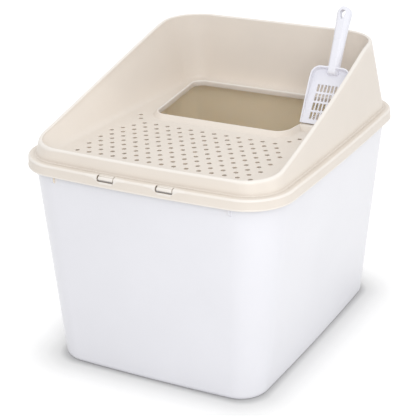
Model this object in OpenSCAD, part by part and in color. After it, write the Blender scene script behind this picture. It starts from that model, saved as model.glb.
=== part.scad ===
// Top entry litter box: a deep tub, a lid with a perforated step deck, and a sifting scoop.
// Millimetres, +Z up, +Y to the back, origin at the middle of the underside.

/* [Lid] */
// Half width of the lid's skirt, without the bow of its sides
skirt_half_w = 200; // [190:1:210]
// Half depth of the lid's skirt, without the bow of its ends
skirt_half_d = 231.5; // [222:0.5:240]
// Corner radius of the lid's skirt
skirt_r = 58; // [50:1:64]
// How far the long sides bow out at their middle
side_bow = 5; // [0:0.5:7]
// How far the front and the back bow out at their middle
end_bow = 7.5; // [0:0.5:9]
// Height of the skirt's lower edge above the floor
skirt_bottom = 297.7; // [290:0.1:300]
// Height of the flange that the walls stand on
flange_top = 313.6; // [312:0.1:316]
// Thickness of the moulded plastic
wall = 2.5; // [2:0.1:2.8]
// Height of the rim along the front
front_rim_z = 332.6; // [328:0.2:338]
// Height of the rim along the back
back_rim_z = 420.5; // [400:0.5:430]
// Half width of the raised walls where they leave the flange
wall_half_w = 188.6; // [186:0.2:190]
// Half depth of the raised walls where they leave the flange
wall_half_d = 219.5; // [217:0.5:221]
// Half width of the raised walls at the height of the back rim
top_half_w = 172; // [168:0.5:176]
// Width of the rounded rim
rim_w = 5.6; // [5.2:0.1:7]

/* [Deck] */
// Height of the step deck's top
deck_z = 314; // [313.9:0.1:316]
// Half width of the deck at its middle
deck_half_w = 155.5; // [150:0.5:158]
// How much the deck narrows for each millimetre towards the back
deck_narrowing = 0.054; // [0:0.002:0.06]
// Depth of the deck from its middle to its front and back edges
deck_half_d = 199; // [195:0.5:201]
// Diameter of the holes in the deck
hole_d = 6.6; // [5:0.1:8]
// Distance between holes along a row
hole_pitch = 19.35; // [18:0.05:20]
// Distance between rows of holes
row_pitch = 15.4; // [14:0.1:16]
// Place of the first row of holes
first_row_y = -164; // [-168:1:-160]

/* [Entry opening] */
// Half width of the opening at its middle
entry_half_w = 116; // [110:0.5:117]
// Half depth of the opening
entry_half_d = 84.5; // [76:0.5:85]
// Place of the opening's middle along the depth
entry_y = 90; // [87:0.5:91]
// Corner radius of the opening
entry_r = 18; // [14:1:26]
// How much the opening widens for each millimetre towards the back
entry_widening = 0.12; // [0.08:0.01:0.13]
// Width of the sloped frame round the opening
curb_w = 10; // [9:0.5:10]
// Height of the opening's lip above the deck
curb_h = 7; // [6:0.5:7.5]
// Depth of the lip that turns down inside the opening
lip_h = 8.5; // [7:0.5:10]

/* [Tub] */
// Half width of the tub at the floor
tub_bottom_half_w = 161; // [156:0.5:166]
// Half depth of the tub at the floor
tub_bottom_half_d = 209; // [200:0.5:212]
// Half width of the tub where the skirt covers it
tub_top_half_w = 190.8; // [188:0.2:191.4]
// Half depth of the tub where the skirt covers it
tub_top_half_d = 222.3; // [220:0.2:223]
// Corner radius of the tub at the floor
tub_bottom_r = 38; // [34:1:44]
// Corner radius of the tub at the top
tub_top_r = 54; // [50:1:56]
// Width of the tub's rim
tub_rim_w = 4.4; // [3:0.1:5]
// Distance from the middle to each rib under the rim
rib_x = 136; // [120:1:150]

/* [Snap windows] */
// Distance from the middle to each window
window_x = 45; // [35:0.5:60]
// Width of a window
window_w = 26; // [20:0.5:30]
// Height of a window
window_h = 8.4; // [7:0.2:9]

/* [Scoop] */
// Width of the blade
blade_w = 61; // [56:0.5:61.5]
// Length of the blade
blade_l = 87; // [82:1:88]
// Lean of the blade from upright
blade_lean = 38; // [36:0.5:39]
// Lean of the handle from upright
handle_lean = 27; // [25:0.5:29]
// Length of the handle past the blade
handle_l = 93.5; // [88:0.5:96]
// Width of the handle's round end
handle_w = 22.8; // [21:0.1:23]
// Columns of slots in the blade
slot_columns = 7; // [5:1:7]
// Rows of slots in the blade
slot_rows = 4; // [3:1:4]

/* [Hidden] */
side_steps = 8;
corner_steps = 8;
lid_colour = [0.898, 0.863, 0.827];
tub_colour = [0.925, 0.929, 0.949];
scoop_colour = [0.922, 0.925, 0.961];

// Outline of a rounded rectangle, counterclockwise, with points along its sides
corner_signs = [[1, 1], [-1, 1], [-1, -1], [1, -1]];
function corner_point(hw, hd, r, q, t) =
    [corner_signs[q][0] * (hw - r) + r * cos(90 * (q + t)),
     corner_signs[q][1] * (hd - r) + r * sin(90 * (q + t))];
function mix(a, b, t) = a + (b - a) * t;
function rounded(hw, hd, r) = [for (q = [0 : 3])
    each concat(
        [for (i = [0 : corner_steps]) corner_point(hw, hd, r, q, i / corner_steps)],
        [for (i = [1 : side_steps - 1])
            mix(corner_point(hw, hd, r, q, 1),
                corner_point(hw, hd, r, (q + 1) % 4, 0), i / side_steps)])];
// The same outline with its sides and ends bowed out
function bowed(hw, hd, r, bx = side_bow, by = end_bow) = [for (p = rounded(hw, hd, r))
    [p[0] * (1 + bx / hw * (1 - pow(p[1] / hd, 2))),
     p[1] * (1 + by / hd * (1 - pow(p[0] / hw, 2)))]];
function lift(ring, z) = [for (p = ring) [p[0], p[1], z]];
function moved(ring, dy) = [for (p = ring) [p[0], p[1] + dy]];
n = len(rounded(100, 100, 20));

// A closed solid through rings of equal length. Its ends are flat fans round a middle point,
// so that no triangle there is a straight line
function middle(ring) = [for (i = [0 : n - 1]) 1 / n] * ring;
module skin(rings) {
    last = len(rings) - 1;
    polyhedron(
        points = concat([for (ring = rings) each ring], [middle(rings[0]), middle(rings[last])]),
        faces = concat(
            [for (i = [0 : n - 1]) [i, (i + 1) % n, (last + 1) * n]],
            [for (k = [0 : last - 1], i = [0 : n - 1]) each
                let (a = k * n + i, b = k * n + (i + 1) % n)
                [[a, a + n, b], [b, a + n, b + n]]],
            [for (i = [0 : n - 1]) [last * n + (i + 1) % n, last * n + i, (last + 1) * n + 1]]),
        convexity = 8);
}

// Height of the rim along the depth: level at the front, a straight slope, level at the back
rim_slope = 0.247;
rim_slope_z0 = 379.4;
rim_blend = 5;
function soft_max(a, b, k) = (a + b + sqrt(pow(a - b, 2) + k * k)) / 2;
function soft_min(a, b, k) = (a + b - sqrt(pow(a - b, 2) + k * k)) / 2;
function rim_z(y) =
    soft_min(soft_max(front_rim_z, rim_slope_z0 + rim_slope * y, rim_blend), back_rim_z, rim_blend);

// The raised wall's outer face, a distance d inside it, at a height z for each point of the outline
top_front_d = 207.6;
top_back_d = 216;
top_r = 58;
wall_r = 47;
wall_side_bow = side_bow - 1;
wall_end_bow = end_bow - 1.5;
top_end_bow = 1;
function wall_low(d) =
    bowed(wall_half_w - d, wall_half_d - d, wall_r - d, wall_side_bow, wall_end_bow);
function wall_high(d) = moved(
    bowed(top_half_w - d, (top_front_d + top_back_d) / 2 - d, top_r - d, wall_side_bow, top_end_bow),
    (top_back_d - top_front_d) / 2);
function wall_ring(d, drop) =
    let (low = wall_low(d), high = wall_high(d))
    [for (i = [0 : n - 1])
        let (z = rim_z(low[i][1]) - drop,
             p = mix(low[i], high[i], (z - flange_top) / (back_rim_z - flange_top)))
        [p[0], p[1], z]];

// The deck's outline, a distance e inside the foot of the walls, narrower towards the back
deck_y = 1;
deck_r = 28;
function deck_outline(e) = [for (p = rounded(deck_half_w - e, deck_half_d - e, deck_r - e / 2))
    [p[0] * (1 - deck_narrowing * p[1] / deck_half_w), p[1] + deck_y]];
// A ring on the wall's inner face at a height above the deck, a distance e inside it
function inner_ring(height, e) =
    let (foot = deck_outline(e), head = wall_ring(rim_w + e, rim_roll))
    [for (i = [0 : n - 1])
        let (t = height / (head[i][2] - deck_z), p = mix(foot[i], head[i], t))
        [p[0], p[1], deck_z + height]];
// The same, at a distance below the rim
function inner_ring_below_rim(drop, e) =
    let (foot = deck_outline(e), head = wall_ring(rim_w + e, rim_roll))
    [for (i = [0 : n - 1])
        let (z = rim_z(wall_low(0)[i][1]) - drop,
             t = (z - deck_z) / (head[i][2] - deck_z), p = mix(foot[i], head[i], t))
        [p[0], p[1], z]];
// The rim's rounded section: distance in from the outer face, and drop below the rim's top
rim_roll = 2.8;
rim_ease = 0.8;
rim_section = [[0, rim_roll], [rim_ease, rim_ease], [rim_w / 2, 0],
               [rim_w - rim_ease, rim_ease], [rim_w, rim_roll]];
// The flange's rounded edge: distance in from the skirt, and drop below the flange's top
flange_section = [[0, 5], [0.8, 1.8], [3, 0]];
// The wall's foot on the flange, and the fillet between the deck and the walls
foot_fillet = 2.1;
fillet = 8;
fillet_bend = 0.3 * fillet;
// How far the hollow inside the walls stays below the rim
hollow_drop = 7.5;
flange_under = flange_top - wall - 0.2;
function skirt_ring(d, z) = lift(bowed(skirt_half_w - d, skirt_half_d - d, skirt_r - d), z);

// The entry opening's outline, a distance d outside its edge
function entry_outline(d) = [for (p = rounded(entry_half_w + d, entry_half_d + d, entry_r + d))
    [p[0] * (1 + entry_widening * p[1] / entry_half_w), p[1] + entry_y]];
// Height of the opening's lip, its lower edge and its thickness
lip_top = deck_z + curb_h;
lip_bottom = lip_top - lip_h;
lip_t = 2.4;
lip_ease = 0.8;

// The lid's outer and upper surfaces: skirt, flange, walls, deck and the opening's frame, with no opening
module lid_outer() {
    skin(concat(
        [skirt_ring(0, skirt_bottom)],
        [for (e = flange_section) skirt_ring(e[0], flange_top - e[1])],
        [lift(wall_low(-foot_fillet), flange_top), lift(wall_low(0), flange_top + foot_fillet)],
        [for (e = rim_section) wall_ring(e[0], e[1])],
        [inner_ring(fillet, 0),
         lift(deck_outline(fillet_bend), deck_z + fillet_bend),
         lift(deck_outline(fillet), deck_z),
         lift(entry_outline(curb_w), deck_z),
         lift(entry_outline(lip_t), lip_top)]
    ));
}

// The frame's slope, and how far below and inside it the hollow's slope runs
curb_slope = atan2(curb_h, curb_w - lip_t);
curb_drop = 2.2 / cos(curb_slope);
curb_under = curb_w + (wall - curb_drop) / tan(curb_slope);
// The hollow under the lid: inside the skirt, up inside the walls, and under the deck
module lid_hollow() {
    skin([
        skirt_ring(wall, skirt_bottom - 1),
        skirt_ring(wall, flange_under),
        lift(wall_low(wall), flange_under),
        wall_ring(wall, hollow_drop),
        inner_ring_below_rim(hollow_drop, -wall),
        lift(deck_outline(-wall), deck_z - wall),
        lift(entry_outline(curb_under), deck_z - wall),
        lift(entry_outline(lip_t), lip_top - curb_drop),
        lift(entry_outline(lip_t), lip_bottom)
    ]);
}
// The opening through the flat top inside the frame, with its upper edge eased
module entry_cut() {
    skin([
        lift(entry_outline(0), lip_bottom - lip_h),
        lift(entry_outline(0), lip_top - lip_ease),
        lift(entry_outline(2 * lip_ease), lip_top + lip_ease)
    ]);
}

// Places of the deck's holes: staggered rows, shorter beside the opening, and two more each side of it
row_count = 10;
function row_limit(k) = k < 7 ? 7 * hole_pitch + 1 : k < 9 ? 6.5 * hole_pitch + 1 : 6 * hole_pitch + 1;
function row_shift(k) = k % 2 == 0 ? 0 : hole_pitch / 2;
hole_places = concat(
    [for (k = [0 : row_count - 1], i = [-8 : 8])
        let (x = i * hole_pitch + row_shift(k))
        if (abs(x) <= row_limit(k)) [x, first_row_y + k * row_pitch]],
    [for (side = [-1, 1]) each [[side * 122, first_row_y + 10 * row_pitch],
                                [side * 131, first_row_y + 11 * row_pitch]]]);
hole_depth = 12;
module deck_holes() {
    for (place = hole_places)
        translate([place[0], place[1], deck_z - hole_depth / 2])
            cylinder(d = hole_d, h = hole_depth, $fn = 24);
}

// Front face of the flange at the windows
window_y = -(skirt_half_d + end_bow * (1 - pow(window_x / skirt_half_w, 2)));
window_low = flange_top - window_h + 0.6;
module at_windows() {
    for (side = [-1, 1]) translate([side * window_x, window_y, window_low]) children();
}
// The cut through the flange's edge, from in front of the skirt
window_reach = 4;
window_depth = 7.5;
module window_cut() {
    translate([-window_w / 2, -window_reach, 0])
        cube([window_w, window_reach + window_depth, window_h + 3]);
}
// A rounded nose on a web, hanging from the back edge of its window
nose_gap = 1.3;
nose_r = 2.9;
nose_y = 4.2;
nose_low = 0.9;
module snap_nose() {
    nose_l = window_w - 2 * nose_gap;
    translate([-nose_l / 2, nose_y, nose_low + nose_r]) rotate([0, 90, 0])
        cylinder(r = nose_r, h = nose_l, $fn = 40);
    translate([-nose_l / 2, nose_y, nose_low])
        cube([nose_l, window_depth + 0.5 - nose_y, flange_top - window_low - nose_low]);
}

// Where the scoop stands: its foot's left end, and the dock in the right wall behind it
foot_x = 110.5;
foot_y = 52.3;
foot_z = lip_top + 0.3;
dock_gap = 0.8;
dock_x0 = 120;
dock_x1 = foot_x + blade_w + dock_gap;
dock_y0 = foot_y - 13;
dock_y1 = foot_y + 58;
dock_top = 440;
module dock_shape(grow) {
    back = foot_y + 0.6 + grow;
    translate([dock_x0, 0, 0]) rotate([90, 0, 90])
        linear_extrude(dock_x1 - dock_x0 + grow)
            polygon([[dock_y0 - grow, lip_top - grow], [back, lip_top - grow],
                     [back + (dock_y1 - foot_y), lip_top + (dock_y1 - foot_y) / tan(blade_lean)],
                     [back + (dock_y1 - foot_y), dock_top], [dock_y0 - grow, dock_top]]);
}
// A ledge between the lip and the dock, for the scoop's foot
ledge_half = 7;
ledge_slope = 8;
ledge_top = lip_top - 0.15;
module foot_ledge() {
    translate([foot_x + 2.5, 0, 0]) rotate([90, 0, 90]) linear_extrude(dock_x1 - foot_x - 8.5)
        polygon([[foot_y - ledge_half - ledge_slope, deck_z - 0.6], [foot_y - ledge_half, ledge_top],
                 [foot_y + ledge_half, ledge_top], [foot_y + ledge_half + ledge_slope, deck_z - 0.6]]);
}

module lid() {
    color(lid_colour) {
        difference() {
            union() {
                lid_outer();
                foot_ledge();
            }
            difference() {
                lid_hollow();
                dock_shape(wall);
            }
            entry_cut();
            deck_holes();
            at_windows() window_cut();
            dock_shape(0);
        }
        at_windows() snap_nose();
    }
}

// The tub
tub_top = flange_under;
tub_wall = 2.6;
tub_floor = 3;
rim_low = tub_top - 3;
floor_bow = 3.7;
rim_r = tub_top_r + 3;
rim_half_w = tub_top_half_w + tub_rim_w;
rim_half_d = tub_top_half_d + tub_rim_w;
function tub_ring(z, d) =
    let (t = z / skirt_bottom)
    lift(bowed(mix(tub_bottom_half_w, tub_top_half_w, t) - d,
               mix(tub_bottom_half_d, tub_top_half_d, t) - d,
               mix(tub_bottom_r, tub_top_r, t) - d,
               mix(floor_bow, side_bow, t), mix(floor_bow, end_bow, t)), z);
function rim_ring(z, d) = lift(bowed(rim_half_w - d, rim_half_d - d, rim_r - d), z);
// The rounded edge round the floor: height, and distance in from the wall, outside and inside
foot_section = [[0, 6], [1.2, 3], [3.6, 1], [8, 0]];
bowl_section = [[0, 10], [2, 6], [8, tub_wall]];
module tub_outer() {
    skin(concat([for (e = foot_section) tub_ring(e[0], e[1])],
                [tub_ring(rim_low, 0), rim_ring(rim_low, 0),
                 rim_ring(tub_top - rim_ease, 0), rim_ring(tub_top, rim_ease)]));
}
module tub_inner() {
    skin(concat([for (e = bowl_section) tub_ring(tub_floor + e[0], e[1])],
                [tub_ring(tub_top + 2, tub_wall)]));
}
// A short gusset under the rim, thinner downwards
rib_h = 24;
rib_t = 2.6;
rib_root = 2;
module rim_rib() {
    front = 0.4 - tub_rim_w;
    rotate([90, 0, 90]) translate([0, 0, -rib_t / 2]) linear_extrude(rib_t)
        polygon([[rib_root, 0], [front, 0], [front, -0.8 * rib_h], [1, -rib_h], [rib_root, -rib_h]]);
}
rib_y = tub_top_half_d + end_bow * (1 - pow(rib_x / tub_top_half_w, 2));
// The rim is cut away behind each window, for the nose
notch_w = window_w + 3;
notch_front = 5;
notch_depth = 14.4;
module tub() {
    color(tub_colour) difference() {
        union() {
            tub_outer();
            for (side = [-1, 1], end = [0, 180]) rotate([0, 0, end])
                translate([side * rib_x, -rib_y + 0.3, rim_low + 0.2]) rim_rib();
        }
        tub_inner();
        for (side = [-1, 1])
            translate([side * window_x - notch_w / 2, window_y - notch_front, rim_low - 1])
                cube([notch_w, notch_depth, tub_top - rim_low + 3]);
    }
}

// The scoop, drawn upright with its foot at the origin, then leant back
blade_t = 2;
blade_r = 14;
tray_low = 3;
tray_high = 12;
slot_w = 3.7;
slot_l = 11.6;
slot_pitch = 5.5;
slot_row_pitch = 14.4;
first_slot_z = 6.5;
// Where the tray's side walls reach their full depth, and the height of its open mouth
full_depth_z = 0.72 * blade_l;
mouth_h = 28;
arc_steps = 8;
function blade_outline(d) = concat(
    [[-blade_w / 2 + d, 0], [blade_w / 2 - d, 0]],
    [for (i = [0 : arc_steps]) let (a = 90 * i / arc_steps)
        [blade_w / 2 - blade_r + (blade_r - d) * cos(a), blade_l - blade_r + (blade_r - d) * sin(a)]],
    [for (i = [0 : arc_steps]) let (a = 90 + 90 * i / arc_steps)
        [-blade_w / 2 + blade_r + (blade_r - d) * cos(a), blade_l - blade_r + (blade_r - d) * sin(a)]]);
module blade_plate(d, depth) {
    rotate([90, 0, 0]) linear_extrude(depth) polygon(blade_outline(d));
}
module blade_slots() {
    for (i = [0 : slot_columns - 1], k = [0 : slot_rows - 1])
        translate([(i - (slot_columns - 1) / 2) * slot_pitch - slot_w / 2, -blade_t - 1,
                   first_slot_z + k * slot_row_pitch])
            cube([slot_w, blade_t + 2, slot_l]);
}
module tray() {
    difference() {
        intersection() {
            blade_plate(0, tray_high);
            translate([-blade_w, 0, 0]) rotate([90, 0, 90]) linear_extrude(2 * blade_w)
                polygon([[0, -1], [-tray_low, -1], [-tray_high, full_depth_z],
                         [-tray_high, blade_l + 1], [0, blade_l + 1]]);
        }
        translate([0, -blade_t, -1]) blade_plate(blade_t, tray_high);
        translate([-blade_w / 2 + blade_t, -tray_high - 1, -2])
            cube([blade_w - 2 * blade_t, tray_high + 1 - blade_t, mouth_h + 2]);
        blade_slots();
    }
}
// Half round handle with a flat back, wider towards its round end, with a teardrop hanging hole
handle_root = 8.5;
handle_depth = 10.8;
root_w = 18.3;
handle_round_r = 13.4;
flare_steps = 6;
function handle_half(t) = mix(root_w, handle_w, t * t * t) / 2;
module handle_plan() {
    half_end = handle_w / 2;
    straight = handle_l - half_end;
    side = [for (i = [0 : flare_steps]) [handle_half(i / flare_steps), straight * i / flare_steps]];
    polygon(concat([[-root_w / 2, -handle_root], [root_w / 2, -handle_root]], side,
                   [for (i = [flare_steps : -1 : 0]) [-side[i][0], side[i][1]]]));
    translate([0, straight]) circle(r = half_end, $fn = 48);
}
module hanging_hole() {
    hole_r = 4.4;
    tip_r = 1.8;
    top = handle_l - 9.9;
    tip = top - 8;
    translate([0, top]) circle(r = hole_r, $fn = 32);
    translate([0, tip]) circle(r = tip_r, $fn = 32);
    polygon([[-hole_r, top], [hole_r, top], [tip_r, tip], [-tip_r, tip]]);
}
module handle() {
    difference() {
        intersection() {
            rotate([90, 0, 0]) linear_extrude(handle_depth + 1) handle_plan();
            translate([0, 0, -handle_root - 1]) intersection() {
                cylinder(r = handle_round_r, h = handle_l + handle_root + 2, $fn = 64);
                translate([-handle_w, -handle_depth, 0])
                    cube([2 * handle_w, handle_depth, handle_l + handle_root + 2]);
            }
        }
        translate([0, 1, 0]) rotate([90, 0, 0]) linear_extrude(handle_depth + 4) hanging_hole();
    }
}
module scoop() {
    color(scoop_colour)
        translate([foot_x + blade_w / 2, foot_y, foot_z]) rotate([-blade_lean, 0, 0]) {
            tray();
            translate([0, -blade_t + 0.4, blade_l - 1.2]) rotate([blade_lean - handle_lean, 0, 0]) handle();
        }
}

tub();
lid();
scoop();
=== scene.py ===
"""Looks of a top entry litter box: a moulded tub, a one-piece lid with a step deck, and a scoop.

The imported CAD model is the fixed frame. Sizes are millimetres, and each finished mesh is scaled to
metres. The settings, the materials and the stage are in metres.
"""

import math

import bmesh
import bpy
from bpy.props import FloatProperty, FloatVectorProperty, IntProperty, PointerProperty
from mathutils import Matrix, Vector


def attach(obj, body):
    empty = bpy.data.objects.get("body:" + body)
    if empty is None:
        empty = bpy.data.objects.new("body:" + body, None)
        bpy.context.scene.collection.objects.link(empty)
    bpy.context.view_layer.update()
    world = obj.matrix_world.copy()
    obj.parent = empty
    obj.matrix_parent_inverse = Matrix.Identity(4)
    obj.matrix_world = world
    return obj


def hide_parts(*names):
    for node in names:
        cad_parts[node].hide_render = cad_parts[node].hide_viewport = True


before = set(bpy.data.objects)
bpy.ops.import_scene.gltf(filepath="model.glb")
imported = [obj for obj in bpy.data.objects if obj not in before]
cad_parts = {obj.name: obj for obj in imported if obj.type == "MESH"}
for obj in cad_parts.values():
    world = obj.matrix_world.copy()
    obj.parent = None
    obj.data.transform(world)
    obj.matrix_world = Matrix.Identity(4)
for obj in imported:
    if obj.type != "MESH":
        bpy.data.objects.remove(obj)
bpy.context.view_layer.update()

bl_info = {
    "name": "Top entry litter box",
    "version": (1, 0, 0),
    "blender": (4, 5, 0),
    "location": "3D View > Sidebar > Litter box",
    "description": "Builds the tub, lid and scoop of a top entry litter box, and a plain studio",
    "category": "Object",
}

MM = 0.001

# Steps round each corner of an outline, along each of its sides, and along a small soft bend
CORNER_STEPS = 16
SIDE_STEPS = 22
BEND_STEPS = 4

# Points nearer than this are merged, and edges that turn by more than these angles stay sharp
MERGE_DISTANCE = 0.002
SHARP_ANGLE, SCOOP_SHARP_ANGLE = 32.0, 34.0

# The lid's skirt and flange. The bead's profile is pairs of inset and height, from its lower end up.
SKIRT_HALF_W, SKIRT_HALF_D, SKIRT_R = 200.0, 231.5, 58.0
SIDE_BOW, END_BOW = 5.0, 7.5
SKIRT_BOTTOM, FLANGE_TOP = 297.7, 313.6
WALL = 2.5
FLANGE_UNDER = FLANGE_TOP - WALL - 0.2
FLANGE_R, FLANGE_STEPS = 3.2, 7
BEAD, BEAD_H = 0.7, 2.2
BEAD_PROFILE = ((BEAD + 0.5, 0), (0.25, 0.15), (0, 0.6), (0, BEAD_H - 0.5), (0.3, BEAD_H),
                (BEAD, BEAD_H + 0.7))

# The raised walls and their rim
WALL_HALF_W, WALL_HALF_D, WALL_R = 188.6, 219.5, 47.0
WALL_SIDE_BOW, WALL_END_BOW = 4.0, 6.0
TOP_HALF_W, TOP_FRONT_D, TOP_BACK_D, TOP_R = 172.0, 207.6, 216.0, 58.0
TOP_END_BOW = 1.0
FRONT_RIM_Z, BACK_RIM_Z = 332.6, 420.5
RIM_SLOPE, RIM_SLOPE_Z0, RIM_BLEND = 0.247, 379.4, 5.0
RIM_W, RIM_ROLL, RIM_STEPS = 5.6, 2.8, 10
FOOT_FILLET, FOOT_LEAD, FOOT_STEPS = 2.1, 0.5, 4
WALL_STEPS = 6
HOLLOW_DROP = 7.5

# The deck and its holes. ROW_REACH is how far each row reaches from the middle, in pitches and from
# the front row back. SIDE_HOLE_X is the hole on each side of the opening in the rows after those.
DECK_Z = 314.0
DECK_HALF_W, DECK_HALF_D, DECK_R, DECK_Y = 155.5, 199.0, 28.0, 1.0
DECK_NARROWING = 0.054
DECK_FILLET, DECK_FILLET_STEPS, DECK_LEAD = 8.0, 7, 1.5
HOLE_PITCH, ROW_PITCH, FIRST_ROW_Y = 19.35, 15.4, -164.0
ROW_REACH = (7,) * 7 + (6.5,) * 2 + (6,)
SIDE_HOLE_X = (122, 131)
HOLE_EASE = 0.35
HOLE_SEGMENTS = 22

# The entry opening, its sloped frame and its lip, whose narrow top lies between the two LIP_FLAT
ENTRY_HALF_W, ENTRY_HALF_D, ENTRY_Y, ENTRY_R = 116.0, 84.5, 90.0, 18.0
ENTRY_WIDENING = 0.12
CURB_W, CURB_H, CURB_T, CURB_BEND = 10.0, 7.0, 2.2, 1.5
LIP_T, LIP_H = 2.4, 8.5
LIP_TOP = DECK_Z + CURB_H
LIP_BOTTOM = LIP_TOP - LIP_H
LIP_FLAT = (LIP_T - 0.5, LIP_T - 0.7)
LIP_ROUNDING, LIP_ROUNDING_STEPS = 4.5, 6
LIP_UNDER_R, LIP_UNDER_STEPS = 0.6, 3
LIP_BACK_EASE_W, LIP_BACK_EASE_H = 0.2, 0.3
CURB_SLOPE = math.atan2(CURB_H, CURB_W - LIP_T)
CURB_DROP = CURB_T / math.cos(CURB_SLOPE)
CURB_UNDER = CURB_W + (WALL - CURB_DROP) / math.tan(CURB_SLOPE)

# The snap windows and their noses. A window's cut starts before the skirt and ends over the flange,
# and the edges round a nose's ends are those that turn by more than NOSE_CAP_ANGLE, in radians.
WINDOW_X, WINDOW_W, WINDOW_H, WINDOW_DEPTH = 45.0, 26.0, 8.4, 7.5
WINDOW_Y = -(SKIRT_HALF_D + END_BOW * (1 - (WINDOW_X / SKIRT_HALF_W) ** 2))
WINDOW_LOW = FLANGE_TOP - WINDOW_H + 0.6
WINDOW_EASE, WINDOW_BEFORE, WINDOW_OVER = 1.6, 4, 3
NOSE_GAP, NOSE_R, NOSE_Y, NOSE_LOW = 1.3, 2.9, 4.2, 0.9
NOSE_EASE, NOSE_EASE_STEPS, NOSE_SEGMENTS = 0.7, 3, 32
NOSE_CAP_ANGLE = 1.0
WEB_EASE, WEB_EASE_STEPS, WEB_OVERLAP, WEB_DROP = 0.3, 2, 0.5, 0.05

# The dock in the right wall, the lid's core that the dock's walls keep to, the ledge before it and
# the scoop's place
FOOT_X, FOOT_Y, FOOT_Z = 110.5, 52.3, LIP_TOP + 0.3
BLADE_W, BLADE_L, BLADE_LEAN, BLADE_T, BLADE_R = 61.0, 87.0, 38.0, 2.0, 14.0
DOCK_X0, DOCK_X1 = 120.0, FOOT_X + BLADE_W + 0.8
DOCK_Y0, DOCK_Y1, DOCK_TOP, DOCK_GAP = FOOT_Y - 13.0, FOOT_Y + 58.0, 440.0, 0.6
CORE_INSET, CORE_DROP, CORE_SINK = 1.1, 2.1, 1.5
LEDGE_HALF, LEDGE_SLOPE, LEDGE_X0, LEDGE_X1 = 7.0, 8.0, FOOT_X + 2.5, 154.5
LEDGE_LOW, LEDGE_TOP = DECK_Z - 0.6, LIP_TOP - 0.15
LEDGE_BEND_OUT, LEDGE_BEND_DOWN, LEDGE_BEND_IN = 1.1, 1.0, 1.5

# The scoop's tray: its edge's depth at the mouth and from FULL_DEPTH_Z on, its bend and its slots
TRAY_LOW, TRAY_HIGH, TRAY_LEAST_EDGE = 3.0, 12.0, 0.01
FULL_DEPTH_Z = 0.72 * BLADE_L
TRAY_BEND, TRAY_BEND_RISE, TRAY_BEND_STEPS = 5.5, 3.0, 5
BLADE_STEPS, BLADE_LEAST_R = 10, 1.0
SLOT_W, SLOT_L, SLOT_R, SLOT_CORNER_STEPS = 3.7, 11.6, 1.0, 3
SLOT_PITCH, SLOT_ROW_PITCH, FIRST_SLOT_Z = 5.5, 14.4, 6.5
SLOT_COLUMNS, SLOT_ROWS = 7, 4

# The scoop's handle. Its section is bends through points in shares of its half width and its depth,
# and its stub is pairs of the distance from its end and the share of the full section.
HANDLE_LEAN, HANDLE_L, HANDLE_W, HANDLE_ROOT, ROOT_W = 27.0, 93.5, 22.8, 8.5, 18.3
HANDLE_DEPTH, HANDLE_FLARE = 10.8, 3
HANDLE_BENDS = (((1, 0.18), (1, 0.42), (0.86, 0.60)), ((0.66, 0.86), (0.56, 1), (0.36, 1)))
STUB = ((0, 0.55), (0.5, 0.75), (1.6, 0.92), (3.4, 1.0))
STUB_NARROWEST, END_THINNEST, END_SQUARENESS = 0.6, 0.9, 8
HANDLE_STEPS, END_STEPS, END_FACE, LEAST_HALF_W = 24, 12, 0.02, 0.35
HANDLE_SINK, HANDLE_OVERLAP = 0.4, 1.2
HANG_Z, HANG_L, HANG_R, HANG_TIP_R = HANDLE_L - 9.9, 8.0, 4.4, 1.8
HANG_STEPS, HANG_TIP_STEPS, HANG_CUT_Y, HANG_CUT_L = 20, 10, 3, 20

# The tub. Its rim's profile is pairs of inset and height, and the leads are the flats past a rounding.
TUB_BOTTOM_HALF_W, TUB_BOTTOM_HALF_D, TUB_BOTTOM_R = 161.0, 209.0, 38.0
TUB_TOP_HALF_W, TUB_TOP_HALF_D, TUB_TOP_R = 190.8, 222.3, 54.0
TUB_FLOOR_BOW = 3.7
TUB_WALL, TUB_FLOOR, TUB_WALL_STEPS = 2.6, 3.0, 12
TUB_FOOT_W, TUB_FOOT_H, TUB_FOOT_STEPS, TUB_FOOT_LEAD = 7.0, 8.0, 8, 7.0
TUB_INNER_W, TUB_INNER_H, TUB_INNER_STEPS, TUB_INNER_LEAD = 8.0, 9.0, 7, 5.0
TUB_TOP, TUB_RIM_W, TUB_RIM_H, TUB_MOUTH_EASE = FLANGE_UNDER, 4.4, 3.0, 0.6
TUB_RIM_R = TUB_TOP_R + 3
RIM_LOW = TUB_TOP - TUB_RIM_H
TUB_RIM_PROFILE = ((0.5, 0), (0, 0.5), (0, TUB_RIM_H - 0.8), (0.25, TUB_RIM_H - 0.25),
                   (0.8, TUB_RIM_H))
RIB_X, RIB_H, RIB_T = 136.0, 24.0, 2.6
RIB_Y = TUB_TOP_HALF_D + END_BOW * (1 - (RIB_X / TUB_TOP_HALF_W) ** 2) - 0.3
RIB_TOP, RIB_FRONT = RIM_LOW + 0.2, TUB_RIM_W - 0.4
RIB_STRAIGHT, RIB_TOE, RIB_OVERLAP = 0.8, 1, 2
NOTCH_W, NOTCH_FRONT, NOTCH_DEPTH = WINDOW_W + 3.0, 5.0, 14.4
NOTCH_LOW, NOTCH_H = RIM_LOW - 1, TUB_RIM_H + 4

# Where the tub counts as inside, whose tan paints warm light bounced in from the lid: a floor
# face's tilt and height, and a wall face's turn and tilt
FLOOR_TILT, FLOOR_ZONE = 0.7, 20.0
INWARD_TURN, WALL_TILT = -20.0, 0.9
INSIDE_TOP = TUB_TOP - 0.4
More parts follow.
